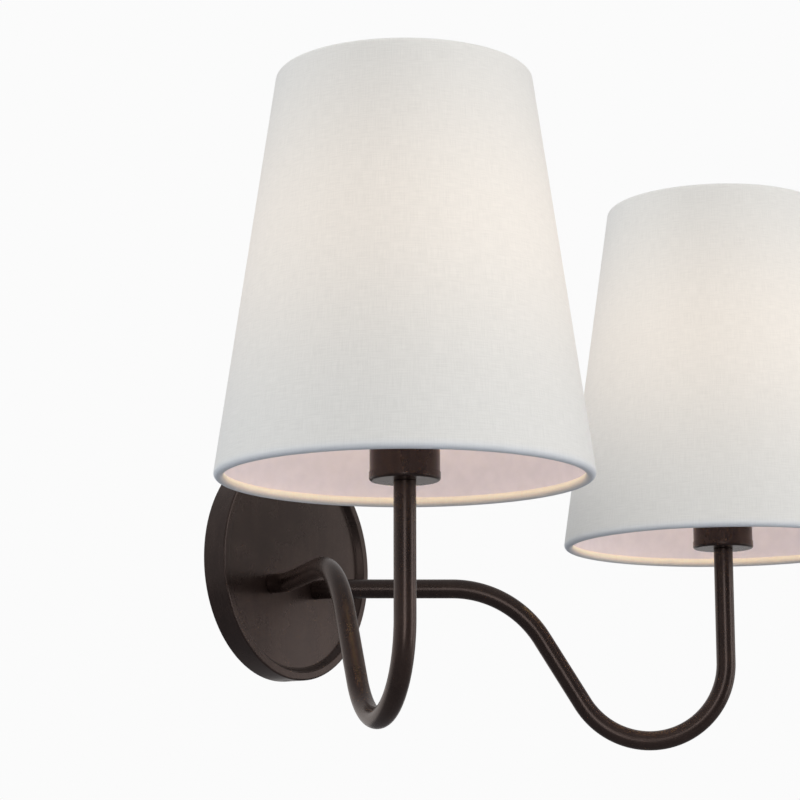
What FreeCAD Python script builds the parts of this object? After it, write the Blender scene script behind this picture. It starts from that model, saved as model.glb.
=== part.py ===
import FreeCAD, Part
import math
import os

import Sketcher
from FreeCAD import Placement, Rotation, Vector

# Double arm wall sconce.
#
# A round dished backplate hides a slotted bar on the wall. Two bent tubes leave its face side by
# side, spread apart level, dive, hook upwards, and each carries a small screw lampholder in a
# plain cup, a candle lamp and a tapered fabric shade that turns on the lampholder's ring.
#
# Frame: millimetres, the origin on the wall at the backplate's centre, +X to the right along the
# wall, +Y into the wall, +Z up. The wall is the plane Y = 0.

SIZES = [
    # backplate, a shallow dish with a raised rim
    ("plate_diameter", 121.0),
    ("plate_depth", 13.4),
    ("plate_wall", 1.6),
    ("rim_width", 4.4),
    ("rim_slope", 1.9),
    ("recess_depth", 3.1),
    ("rim_round", 0.9),
    # bar that is screwed to the wall box, with a tab at each end for the backplate's screws
    ("bar_width", 20.0),
    ("bar_thickness", 1.6),
    ("bar_end_gap", 0.9),
    ("tab_depth", 9.2),
    ("bar_corner", 2.0),
    ("box_screw_spacing", 88.9),
    ("slot_width", 5.2),
    ("slot_length", 12.0),
    ("ground_drop", 18.0),
    # headless screws through the rim, and the ground screw
    ("grub_diameter", 4.0),
    ("grub_length", 6.0),
    ("grub_inset", 5.6),
    ("grub_sink", 0.4),
    ("grub_key", 2.0),
    ("ground_thread", 3.5),
    ("ground_head", 7.0),
    ("ground_head_height", 2.2),
    # terminal block on the bar, where the leads end
    ("block_length", 22.0),
    ("block_height", 10.0),
    ("block_depth", 6.2),
    ("block_rise", 16.0),
    ("block_entry", 4.2),
    ("entry_depth", 6.0),
    ("block_screw", 3.0),
    ("block_screw_length", 1.2),
    # bent arms
    ("tube_diameter", 10.0),
    ("tube_wall", 1.0),
    ("root_spacing", 37.0),
    ("root_drop", 11.7),
    ("root_straight", 4.0),
    ("plan_radius", 18.0),
    ("spread_angle", 36.9),
    ("run_length", 57.9),
    ("shoulder_radius", 55.0),
    ("dive_angle", 58.3),
    ("dive_length", 39.9),
    ("hook_radius", 40.8),
    ("cup_level", 9.6),
    # hollow threaded nipples, washers and nuts that hold the arms and the cups
    ("nipple_wall", 1.0),
    ("nipple_tail", 0.8),
    ("stem_insert", 8.0),
    ("nut_width", 12.0),
    ("nut_height", 2.4),
    ("washer_diameter", 13.6),
    ("washer_thickness", 0.6),
    ("tooth_depth", 1.2),
    ("lead_diameter", 3.6),
    # cup round the lampholder: a low base and a tall sleeve on it
    ("base_diameter", 31.6),
    ("base_height", 3.8),
    ("base_floor", 2.0),
    ("base_round", 1.3),
    ("base_lip", 2.6),
    ("sleeve_diameter", 31.0),
    ("sleeve_wall", 1.2),
    ("sleeve_height", 42.2),
    # lampholder: threaded housing, ceramic core, screw shell and spring contact
    ("housing_diameter", 27.2),
    ("housing_wall", 1.8),
    ("housing_floor", 3.0),
    ("housing_boss", 14.0),
    ("housing_height", 60.0),
    ("core_height", 34.0),
    ("core_recess", 2.0),
    ("core_bore", 16.4),
    ("core_bore_depth", 25.0),
    ("shell_wall", 0.4),
    ("shell_height", 21.0),
    ("contact_width", 6.0),
    ("contact_thickness", 0.4),
    ("contact_rise", 2.4),
    # rings that screw on the housing and hold the shade's fitter between them
    ("ring_flange", 39.0),
    ("ring_flange_thickness", 1.6),
    ("ring_collar", 31.6),
    ("ring_height", 6.0),
    ("ring_grip_count", 24),
    ("ring_grip_diameter", 1.6),
    # shade and its wire frame
    ("shade_level", 10.0),
    ("shade_height", 183.8),
    ("shade_bottom_diameter", 167.6),
    ("shade_top_diameter", 116.0),
    ("shade_wall", 0.8),
    ("hem_diameter", 4.6),
    ("frame_wire", 2.6),
    ("fitter_diameter", 45.0),
    ("fitter_thickness", 1.6),
    ("spoke_wire", 2.4),
    ("notch_width", 5.4),
    # lamp
    ("lamp_cap_diameter", 13.9),
    ("lamp_cap_height", 22.0),
    ("lamp_insulator_height", 2.6),
    ("lamp_tip_diameter", 5.0),
    ("lamp_tip_height", 1.6),
    ("lamp_neck_diameter", 15.4),
    ("lamp_diameter", 36.0),
    ("lamp_belly_rise", 28.0),
    ("lamp_glass_height", 78.0),
    ("lamp_tip_round", 3.4),
    ("lamp_glass_wall", 0.8),
    # clearances, each on the radius or along the axis
    ("hole_clearance", 0.25),
    ("thread_clearance", 0.05),
    ("fit_clearance", 0.1),
    ("ring_clearance", 0.3),
    ("turning_gap", 0.3),
    ("wire_clearance", 0.1),
]

SIDES = (("left", -1), ("right", 1))
SPOKES = 3
WASHER_TEETH = 10

document = FreeCAD.newDocument("double_arm_wall_sconce")
sheet = document.addObject("Spreadsheet::Sheet", "Sizes")
layout = document.addObject("App::VarSet", "Layout")
sub_parts = []


# ---------------------------------------------------------------- named sizes and expressions

class Measure:
    """A length or angle with its present value and the expression that binds it."""

    def __init__(self, value, text):
        self.value = value
        self.text = text

    def _joined(self, other, sign, result):
        other_text = other.text if isinstance(other, Measure) else repr(other)
        return Measure(result, "(%s %s %s)" % (self.text, sign, other_text))

    def __add__(self, other):
        return self._joined(other, "+", self.value + number(other))

    def __sub__(self, other):
        return self._joined(other, "-", self.value - number(other))

    def __mul__(self, other):
        return self._joined(other, "*", self.value * number(other))

    def __truediv__(self, other):
        return self._joined(other, "/", self.value / number(other))

    def __neg__(self):
        return Measure(-self.value, "(0 - %s)" % self.text)


def number(measure):
    return measure.value if isinstance(measure, Measure) else float(measure)


def sine(angle):
    return Measure(math.sin(math.radians(angle.value)), "sin(%s * 1 deg)" % angle.text)


def cosine(angle):
    return Measure(math.cos(math.radians(angle.value)), "cos(%s * 1 deg)" % angle.text)


class Names:
    """The sheet's sizes and the places worked out from them, each under its own name."""


size = Names()
place = Names()


def fill_sheet():
    """Write each size as a plain number with its name as the alias."""
    for row, (name, value) in enumerate(SIZES, start=1):
        sheet.set("A%d" % row, name)
        sheet.set("B%d" % row, str(value))
        sheet.setAlias("B%d" % row, name)
        setattr(size, name, Measure(float(value), "Sizes." + name))
    document.recompute()


def settle(name, measure):
    """Keep a worked out place under a name of its own."""
    layout.addProperty("App::PropertyFloat", name, "Places")
    bind(layout, name, measure)
    setattr(place, name, Measure(number(measure), "Layout." + name))


def bind(thing, path, measure):
    if isinstance(measure, Measure):
        thing.setExpression(path, measure.text)


# ---------------------------------------------------------------- sketch and feature helpers

def origin_plane(body, role):
    return next(plane for plane in body.Origin.OriginFeatures if plane.Role == role)


def new_body(label, across=0, along=0, up=0):
    """An empty body placed at a point of the sconce."""
    body = document.addObject("PartDesign::Body", label)
    body.Label = label
    body.Placement = Placement(Vector(number(across), number(along), number(up)), Rotation())
    bind(body, "Placement.Base.x", across)
    bind(body, "Placement.Base.y", along)
    bind(body, "Placement.Base.z", up)
    sub_parts.append(body)
    return body


def new_sketch(body, plane, offset=(0, 0, 0), turn_axis=None, turn=0):
    """A sketch on an origin plane, moved in the plane's own axes and turned about one of them."""
    sketch = body.newObject("Sketcher::SketchObject", body.Label + "_outline")
    sketch.AttachmentSupport = (origin_plane(body, plane), [""])
    sketch.MapMode = "FlatFace"
    rotation = Rotation(turn_axis, number(turn)) if turn_axis else Rotation()
    sketch.AttachmentOffset = Placement(Vector(*[number(part) for part in offset]), rotation)
    for axis, part in zip("xyz", offset):
        bind(sketch, "AttachmentOffset.Base." + axis, part)
    bind(sketch, "AttachmentOffset.Rotation.Angle", turn)
    return sketch


def constrain(sketch, kind, geometry, point, measure):
    """Hold a point's distance from the sketch origin, or a circle's radius, to a measure."""
    if kind == "Radius":
        index = sketch.addConstraint(Sketcher.Constraint(kind, geometry, number(measure)))
    else:
        index = sketch.addConstraint(
            Sketcher.Constraint(kind, -1, 1, geometry, point, number(measure)))
    bind(sketch, "Constraints[%d]" % index, measure)


def draw_circle(sketch, across, up, radius):
    centre = Vector(number(across), number(up), 0)
    index = sketch.addGeometry(Part.Circle(centre, Vector(0, 0, 1), number(radius)))
    constrain(sketch, "Radius", index, 0, radius)
    constrain(sketch, "DistanceX", index, 3, across)
    constrain(sketch, "DistanceY", index, 3, up)


def arc_between(start, end, axis, known, turn):
    """Arc from start to end about a centre with one known coordinate, turning left or right."""
    delta = end - start
    right_side = (end.dot(end) - start.dot(start)) / 2
    if axis == "x":
        centre = Vector(known, (right_side - delta.x * known) / delta.y, 0)
    else:
        centre = Vector((right_side - delta.y * known) / delta.x, known, 0)
    first, last = (start, end) if turn > 0 else (end, start)
    circle = Part.Circle(centre, Vector(0, 0, 1), centre.distanceToPoint(start))
    angles = [math.atan2(corner.y - centre.y, corner.x - centre.x) for corner in (first, last)]
    return Part.ArcOfCircle(circle, angles[0], angles[1])


def draw_outline(sketch, corners, arcs=None):
    """Closed outline through corners given as (across, up) pairs.

    arcs maps a corner's index to (axis, coordinate, turn) of the arc that leaves it: the one
    known coordinate of its centre, and +1 where it turns left or -1 where it turns right.
    """
    arcs = arcs or {}
    points = [Vector(number(across), number(up), 0) for across, up in corners]
    ends = []
    for index, start in enumerate(points):
        end = points[(index + 1) % len(points)]
        if index in arcs:
            axis, known, turn = arcs[index]
            piece = arc_between(start, end, axis, number(known), turn)
            ends.append((1, 2) if turn > 0 else (2, 1))
        else:
            piece = Part.LineSegment(start, end)
            ends.append((1, 2))
        sketch.addGeometry(piece)
    base = sketch.GeometryCount - len(points)
    for index, (across, up) in enumerate(corners):
        following = (index + 1) % len(points)
        sketch.addConstraint(Sketcher.Constraint(
            "Coincident", base + index, ends[index][1], base + following, ends[following][0]))
        constrain(sketch, "DistanceX", base + index, ends[index][0], across)
        constrain(sketch, "DistanceY", base + index, ends[index][0], up)
        if index in arcs:
            axis, known, turn = arcs[index]
            constrain(sketch, "Distance" + axis.upper(), base + index, 3, known)


def draw_rectangle(sketch, left, right, low, high):
    draw_outline(sketch, [(left, low), (right, low), (right, high), (left, high)])


def draw_hexagon(sketch, width):
    """Six corners from the width across flats, with two flats facing left and right."""
    half = width / 2
    side = width / (2 * math.sqrt(3))
    draw_outline(sketch, [(half, -side), (half, side), (0, side * 2),
                          (-half, side), (-half, -side), (0, -side * 2)])


def finish(feature):
    document.recompute()
    if "Invalid" in feature.State:
        raise RuntimeError("%s can't be made" % feature.Label)
    return feature


def revolve(body, sketch, kind="PartDesign::Revolution"):
    """Turn a half section fully round the sketch's upright axis."""
    feature = body.newObject(kind, body.Label + "_turned")
    feature.Profile = sketch
    feature.ReferenceAxis = (sketch, ["V_Axis"])
    feature.Angle = 360
    sketch.Visibility = False
    return finish(feature)


def extrude(body, sketch, length, kind="PartDesign::Pad", back=False, both=False):
    """Pad or pocket a sketch by a length, along its normal unless back is set."""
    feature = body.newObject(kind, body.Label + "_extruded")
    feature.Profile = sketch
    feature.Length = number(length)
    bind(feature, "Length", length)
    if both:
        feature.SideType = "Symmetric"
    feature.Reversed = back
    sketch.Visibility = False
    return finish(feature)


def cut(body, sketch, depth, back=False, both=False):
    """Pocket that has to take material away."""
    before = body.Shape.Volume
    feature = extrude(body, sketch, depth, "PartDesign::Pocket", back, both)
    if body.Shape.Volume > before - 1e-6:
        raise RuntimeError("%s: a pocket cuts nothing" % body.Label)
    return feature


def repeat_round(body, feature, axis, count):
    """Copies of a feature spaced evenly round an axis of the body."""
    pattern = body.newObject("PartDesign::PolarPattern", body.Label + "_round")
    pattern.Originals = [feature]
    line = next(item for item in body.Origin.OriginFeatures if item.Role == axis)
    pattern.Axis = (line, [""])
    pattern.Angle = 360
    pattern.Occurrences = int(number(count))
    bind(pattern, "Occurrences", count)
    body.Tip = pattern
    return finish(pattern)


def round_edges(body, test, radius, kind="PartDesign::Fillet"):
    """Fillet or chamfer every edge whose bounding box passes the test."""
    base = body.Tip
    names = ["Edge%d" % (index + 1) for index, edge in enumerate(base.Shape.Edges) if test(edge)]
    feature = body.newObject(kind, body.Label + "_eased")
    feature.Base = (base, names)
    path = "Radius" if kind == "PartDesign::Fillet" else "Size"
    setattr(feature, path, number(radius))
    bind(feature, path, radius)
    return finish(feature)


def ring_edge(level, radius, axis="z"):
    """Test for a full circle of a radius at a level along a body's axis."""
    def test(edge):
        curve = edge.Curve
        if not isinstance(curve, Part.Circle):
            return False
        return (abs(curve.Radius - number(radius)) < 1e-4
                and abs(getattr(curve.Center, axis) - number(level)) < 1e-4)
    return test


# ---------------------------------------------------------------- places worked out from sizes

def settle_places():
    """Levels and centres that several sub-parts share."""
    settle("face_y", size.recess_depth - size.plate_depth)
    settle("inner_y", place.face_y + size.plate_wall)
    settle("plate_bore", size.plate_diameter / 2 - size.plate_wall)
    settle("bar_half", place.plate_bore - size.bar_end_gap
           - size.bar_width * size.bar_width / (place.plate_bore * 8))
    settle("tube_bore", size.tube_diameter / 2 - size.tube_wall)
    settle("nipple_radius", place.tube_bore - size.thread_clearance)
    settle("nipple_bore", place.nipple_radius - size.nipple_wall)
    settle("nipple_hole", place.nipple_radius + size.hole_clearance)

    # an arm in its own upright plane: level run, dive, hook and stem
    spread, dive = size.spread_angle, size.dive_angle
    settle("hook_reach", size.run_length + size.shoulder_radius * sine(dive)
           + size.dive_length * cosine(dive) + size.hook_radius * sine(dive))
    settle("hook_level", size.hook_radius * cosine(dive) - size.dive_length * sine(dive)
           - size.shoulder_radius * (-cosine(dive) + 1))
    settle("stem_reach", place.hook_reach + size.hook_radius)
    settle("bend_across", size.root_spacing / 2 + size.plan_radius * (-cosine(spread) + 1))
    settle("bend_y", place.face_y - size.root_straight - size.plan_radius * sine(spread))
    settle("stem_across", place.bend_across + place.stem_reach * sine(spread))
    settle("stem_y", place.bend_y - place.stem_reach * cosine(spread))

    # the stack on a stem, upwards from the cup's underside
    settle("sleeve_bore", size.sleeve_diameter / 2 - size.sleeve_wall)
    settle("sleeve_top", size.cup_level + size.base_height + size.sleeve_height)
    settle("housing_level", size.cup_level + size.base_height + size.base_lip)
    settle("housing_bore", size.housing_diameter / 2 - size.housing_wall)
    settle("core_seat", size.housing_height - size.core_recess - size.core_height)
    settle("core_level", place.housing_level + place.core_seat)
    settle("well_level", place.core_level + size.core_height - size.core_bore_depth)
    settle("fitter_level", place.sleeve_top + size.ring_height + size.turning_gap)
    settle("upper_ring_level", place.fitter_level + size.fitter_thickness + size.turning_gap)
    settle("ring_bore", size.housing_diameter / 2 + size.ring_clearance)
    settle("lamp_level", place.well_level + size.contact_rise + size.contact_thickness
           + size.turning_gap)

    # the shade's wire hoops
    settle("top_hoop", size.shade_top_diameter / 2 - size.hem_diameter / 2)
    settle("bottom_hoop", size.shade_bottom_diameter / 2 - size.hem_diameter / 2)
    settle("top_hoop_rise", size.shade_height - size.hem_diameter / 2)
    document.recompute()


# ---------------------------------------------------------------- wall side

def make_backplate():
    """Spun dish: side wall, narrow raised rim, sloped step and flat recessed face."""
    body = new_body("backplate")
    radius = size.plate_diameter / 2
    rim = radius - size.rim_width
    foot = rim - size.rim_slope
    back = size.plate_wall / 2
    section = new_sketch(body, "XY_Plane")
    draw_outline(section, [
        (0, place.face_y),
        (foot, place.face_y),
        (rim, -size.plate_depth),
        (radius, -size.plate_depth),
        (radius, 0),
        (place.plate_bore, 0),
        (place.plate_bore, size.plate_wall - size.plate_depth),
        (rim + back, size.plate_wall - size.plate_depth),
        (foot + back, place.inner_y),
        (0, place.inner_y),
    ])
    revolve(body, section)
    front = -size.plate_depth
    edges = (ring_edge(front, radius, "y"), ring_edge(front, rim, "y"),
             ring_edge(place.face_y, foot, "y"))
    round_edges(body, lambda edge: any(test(edge) for test in edges), size.rim_round)

    root_holes = new_sketch(body, "XZ_Plane")
    for _, side in SIDES:
        draw_circle(root_holes, size.root_spacing * side / 2, -size.root_drop, place.nipple_hole)
    cut(body, root_holes, size.plate_depth * 3, both=True)
    grub_holes = new_sketch(body, "XY_Plane")
    draw_circle(grub_holes, 0, -size.grub_inset, size.grub_diameter / 2 + size.hole_clearance)
    cut(body, grub_holes, size.plate_diameter * 1.1, both=True)


def draw_slot(sketch, centre_up, length, width):
    """Upright slot with round ends, centred across."""
    half = width / 2
    straight = (length - width) / 2
    low, high = centre_up - straight, centre_up + straight
    draw_outline(sketch, [(half, low), (half, high), (-half, high), (-half, low)],
                 {1: ("y", high, 1), 3: ("y", low, 1)})


def make_mounting_bar():
    """Upright strap on the wall box, slotted, with a tapped tab turned out at each end."""
    body = new_body("mounting_bar")
    half = size.bar_width / 2
    strap = new_sketch(body, "XZ_Plane")
    draw_rectangle(strap, -half, half, -place.bar_half, place.bar_half)
    extrude(body, strap, size.bar_thickness)
    for low, high in ((place.bar_half - size.bar_thickness, place.bar_half),
                      (-place.bar_half, size.bar_thickness - place.bar_half)):
        tab = new_sketch(body, "XZ_Plane")
        draw_rectangle(tab, -half, half, low, high)
        extrude(body, tab, size.tab_depth)

    def tab_corner(edge):
        box = edge.BoundBox
        return box.ZLength > 0.5 and max(box.XLength, box.YLength) < 1e-4 \
            and abs(box.YMin + size.tab_depth.value) < 1e-4
    round_edges(body, tab_corner, size.bar_corner)

    openings = new_sketch(body, "XZ_Plane")
    draw_circle(openings, 0, -size.ground_drop, size.ground_thread / 2)
    for end in (-1, 1):
        draw_slot(openings, size.box_screw_spacing * end / 2, size.slot_length, size.slot_width)
    cut(body, openings, size.bar_thickness * 3, both=True)
    tapped = new_sketch(body, "XY_Plane")
    draw_circle(tapped, 0, -size.grub_inset, size.grub_diameter / 2)
    cut(body, tapped, size.plate_diameter * 1.1, both=True)


def make_canopy_screws():
    """Two headless screws with hexagon sockets, through the rim at top and bottom."""
    shank = document.addObject("Part::Cylinder", "grub_shank")
    bind(shank, "Radius", size.grub_diameter / 2 - size.thread_clearance)
    bind(shank, "Height", size.grub_length)
    socket = document.addObject("Part::Prism", "grub_socket")
    socket.Polygon = 6
    bind(socket, "Circumradius", size.grub_key / math.sqrt(3))
    bind(socket, "Height", size.grub_key)
    bind(socket, "Placement.Base.z", size.grub_length - size.grub_key)
    top = document.addObject("Part::Cut", "grub_screw")
    top.Base, top.Tool = shank, socket
    bind(top, "Placement.Base.y", -size.grub_inset)
    bind(top, "Placement.Base.z", size.plate_diameter / 2 - size.grub_sink - size.grub_length)
    bottom = document.addObject("Part::Mirroring", "grub_screw_below")
    bottom.Source = top
    bottom.Normal = Vector(0, 0, 1)
    pair = document.addObject("Part::Compound", "canopy_screws")
    pair.Links = [top, bottom]
    pair.Label = "canopy_screws"
    sub_parts.append(pair)


def make_ground_screw():
    """Slotted pan head screw in the bar, below its centre."""
    body = new_body("ground_screw", up=-size.ground_drop)
    head = -size.bar_thickness - size.ground_head_height
    shank = size.ground_thread / 2 - size.thread_clearance
    section = new_sketch(body, "XY_Plane")
    draw_outline(section, [
        (0, head),
        (size.ground_head / 2, head),
        (size.ground_head / 2, -size.bar_thickness),
        (shank, -size.bar_thickness),
        (shank, 0),
        (0, 0),
    ])
    revolve(body, section)
    round_edges(body, ring_edge(head, size.ground_head / 2, "y"), size.ground_head_height / 3)
    slot = new_sketch(body, "XZ_Plane", (0, 0, -head))
    draw_rectangle(slot, -size.ground_head / 2, size.ground_head / 2,
                   -size.ground_head_height / 4, size.ground_head_height / 4)
    cut(body, slot, size.ground_head_height / 2)


def make_terminal_block():
    """Small block on the bar with two entries from below and two screw wells in front."""
    body = new_body("terminal_block", 0, -size.bar_thickness, size.block_rise)
    outline = new_sketch(body, "XZ_Plane")
    draw_rectangle(outline, -size.block_length / 2, size.block_length / 2, 0, size.block_height)
    extrude(body, outline, size.block_depth)
    entries = new_sketch(body, "XY_Plane")
    wells = new_sketch(body, "XZ_Plane", (0, 0, size.block_depth))
    for _, side in SIDES:
        across = size.block_length * side / 4
        draw_circle(entries, across, -size.block_depth / 2, size.block_entry / 2)
        draw_circle(wells, across, size.block_height / 2, size.block_screw / 2
                    + size.fit_clearance)
    cut(body, entries, size.entry_depth, back=True)
    cut(body, wells, size.block_screw_length)


def make_terminal_screws():
    """Two slotted clamping screws in the block's wells."""
    screws = []
    for name, side in SIDES:
        screw = document.addObject("Part::Cylinder", "terminal_screw_" + name)
        bind(screw, "Radius", size.block_screw / 2)
        bind(screw, "Height", size.block_screw_length)
        slot = document.addObject("Part::Box", "terminal_slot_" + name)
        bind(slot, "Length", size.block_screw * 2)
        bind(slot, "Width", size.block_screw / 5)
        bind(slot, "Height", size.block_screw_length)
        bind(slot, "Placement.Base.x", -size.block_screw)
        bind(slot, "Placement.Base.y", -size.block_screw / 10)
        bind(slot, "Placement.Base.z", size.block_screw_length / 2)
        slotted = document.addObject("Part::Cut", "terminal_slotted_" + name)
        slotted.Base, slotted.Tool = screw, slot
        slotted.Placement = Placement(Vector(), Rotation(Vector(1, 0, 0), 90))
        bind(slotted, "Placement.Base.x", size.block_length * side / 4)
        bind(slotted, "Placement.Base.y",
             size.block_screw_length - size.block_depth - size.bar_thickness)
        bind(slotted, "Placement.Base.z", size.block_rise + size.block_height / 2)
        screws.append(slotted)
    pair = document.addObject("Part::Compound", "terminal_screws")
    pair.Links = screws
    pair.Label = "terminal_screws"
    sub_parts.append(pair)


# ---------------------------------------------------------------- arms

def draw_tube(sketch, across, up):
    draw_circle(sketch, across, up, size.tube_diameter / 2)
    draw_circle(sketch, across, up, place.tube_bore)


def bend(sketch, centre, radius, first, last):
    """Arc of a bend, counter-clockwise between two angles in degrees."""
    circle = Part.Circle(centre, Vector(0, 0, 1), number(radius))
    index = sketch.addGeometry(
        Part.ArcOfCircle(circle, math.radians(first), math.radians(last)))
    constrain(sketch, "Radius", index, 0, radius)
    return index


def straight(sketch, start, end, length):
    """Straight stretch of a length."""
    index = sketch.addGeometry(Part.LineSegment(start, end))
    held = sketch.addConstraint(Sketcher.Constraint("Distance", index, number(length)))
    bind(sketch, "Constraints[%d]" % held, length)
    return index


def sweep(body, profile, spine):
    pipe = body.newObject("PartDesign::AdditivePipe", body.Label + "_swept")
    pipe.Profile = profile
    edges = ["Edge%d" % (index + 1) for index in range(spine.GeometryCount)]
    pipe.Spine = (spine, edges)
    profile.Visibility = False
    spine.Visibility = False
    return finish(pipe)


def make_arm(name, side):
    """Bent tube: a level bend away from the plate, then run, shoulder, dive, hook and stem."""
    body = new_body("arm_" + name, size.root_spacing * side / 2, place.face_y, -size.root_drop)
    spread, dive = number(size.spread_angle), number(size.dive_angle)

    root = new_sketch(body, "XZ_Plane")
    draw_tube(root, 0, 0)
    plan = new_sketch(body, "XY_Plane")
    turn = Vector(0, -number(size.root_straight), 0)
    first = straight(plan, Vector(), turn, size.root_straight)
    centre = turn + Vector(side * number(size.plan_radius), 0, 0)
    if side > 0:
        second = bend(plan, centre, size.plan_radius, 180, 180 + spread)
        near = 1
    else:
        second = bend(plan, centre, size.plan_radius, -spread, 0)
        near = 2
    plan.addConstraint(Sketcher.Constraint("Coincident", -1, 1, first, 1))
    plan.addConstraint(Sketcher.Constraint("Vertical", first))
    plan.addConstraint(Sketcher.Constraint("Tangent", first, 2, second, near))
    constrain(plan, "DistanceY", second, 3 - near,
              -size.root_straight - size.plan_radius * sine(size.spread_angle))
    sweep(body, root, plan)

    # the rest lies in an upright plane through the bend's end
    across = size.plan_radius * (-cosine(size.spread_angle) + 1) * side
    along = size.root_straight + size.plan_radius * sine(size.spread_angle)
    side_view = new_sketch(body, "XZ_Plane", (across, 0, along), Vector(0, 1, 0),
                           size.spread_angle * side - 90)
    shoulder_radius, hook_radius = number(size.shoulder_radius), number(size.hook_radius)
    run_end = Vector(number(size.run_length), 0, 0)
    run = straight(side_view, Vector(), run_end, size.run_length)
    shoulder_centre = run_end - Vector(0, shoulder_radius, 0)
    shoulder = bend(side_view, shoulder_centre, size.shoulder_radius, 90 - dive, 90)
    out = Vector(math.sin(math.radians(dive)), math.cos(math.radians(dive)), 0)
    dive_start = shoulder_centre + out * shoulder_radius
    dive_end = dive_start + Vector(out.y, -out.x, 0) * number(size.dive_length)
    slope = straight(side_view, dive_start, dive_end, size.dive_length)
    hook_centre = dive_end + out * hook_radius
    hook = bend(side_view, hook_centre, size.hook_radius, 270 - dive, 360)
    stem_foot = hook_centre + Vector(hook_radius, 0, 0)
    stem_height = size.cup_level + size.root_drop - place.hook_level
    stem = straight(side_view, stem_foot, stem_foot + Vector(0, number(stem_height), 0),
                    stem_height)
    for constraint in (("Coincident", -1, 1, run, 1), ("Horizontal", run),
                       ("Tangent", run, 2, shoulder, 2), ("Tangent", shoulder, 1, slope, 1),
                       ("Tangent", slope, 2, hook, 1), ("Tangent", hook, 2, stem, 1),
                       ("Vertical", stem)):
        side_view.addConstraint(Sketcher.Constraint(*constraint))
    constrain(side_view, "DistanceX", stem, 1, place.stem_reach)
    turned = new_sketch(body, "XZ_Plane", (across, 0, along), Vector(0, 1, 0),
                        size.spread_angle * side)
    draw_tube(turned, 0, 0)
    sweep(body, turned, side_view)


def make_nipple(label, across, along, up, axis, below, length):
    """Hollow threaded nipple along an axis, starting a depth below its shoulder."""
    body = new_body(label, across, along, up)
    plane, start = ("XZ_Plane", below) if axis == "y" else ("XY_Plane", -below)
    ring = new_sketch(body, plane, (0, 0, start))
    draw_circle(ring, 0, 0, place.nipple_radius)
    draw_circle(ring, 0, 0, place.nipple_bore)
    extrude(body, ring, length, back=axis == "y")


def make_nut(label, across, along, up, axis):
    """Thin hexagon nut."""
    body = new_body(label, across, along, up)
    hexagon = new_sketch(body, "XZ_Plane" if axis == "y" else "XY_Plane")
    draw_hexagon(hexagon, size.nut_width)
    draw_circle(hexagon, 0, 0, place.nipple_radius + size.thread_clearance)
    extrude(body, hexagon, size.nut_height, back=axis == "y")


def make_washer(label, across, along, up, axis):
    """Lock washer with teeth round its edge."""
    body = new_body(label, across, along, up)
    plane = "XZ_Plane" if axis == "y" else "XY_Plane"
    disc = new_sketch(body, plane)
    draw_circle(disc, 0, 0, size.washer_diameter / 2)
    draw_circle(disc, 0, 0, place.nipple_hole)
    extrude(body, disc, size.washer_thickness, back=axis == "y")
    gap = new_sketch(body, plane)
    reach = size.washer_diameter / 2
    draw_rectangle(gap, reach - size.tooth_depth, reach + size.tooth_depth,
                   -size.tooth_depth / 2, size.tooth_depth / 2)
    notch = cut(body, gap, size.washer_thickness * 3, both=True)
    repeat_round(body, notch, "Y_Axis" if axis == "y" else "Z_Axis", WASHER_TEETH)


def make_arm_fastening(name, side):
    """Nipple through the backplate with its lock washer and nut."""
    across, up = size.root_spacing * side / 2, -size.root_drop
    clamp = size.plate_wall + size.washer_thickness + size.nut_height + size.nipple_tail
    make_nipple("root_nipple_" + name, across, place.face_y, up, "y",
                size.root_straight, size.root_straight + clamp)
    make_washer("root_washer_" + name, across, place.inner_y, up, "y")
    make_nut("root_nut_" + name, across, place.inner_y + size.washer_thickness, up, "y")


# ---------------------------------------------------------------- leads

def rounded_route(corners, radii):
    """Straight runs joined by tangent arcs, one radius for each inner corner."""
    edges = []
    start = corners[0]
    for before, corner, after, radius in zip(corners, corners[1:], corners[2:], radii):
        arriving = (corner - before).normalize()
        leaving = (after - corner).normalize()
        half_turn = arriving.getAngle(leaving) / 2
        setback = radius * math.tan(half_turn)
        arc_start = corner - arriving * setback
        arc_end = corner + leaving * setback
        inward = (leaving - arriving).normalize()
        centre = corner + inward * (radius / math.cos(half_turn))
        edges.append(Part.LineSegment(start, arc_start).toShape())
        edges.append(Part.Arc(arc_start, centre - inward * radius, arc_end).toShape())
        start = arc_end
    edges.append(Part.LineSegment(start, corners[-1]).toShape())
    return Part.Wire(edges)


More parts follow.
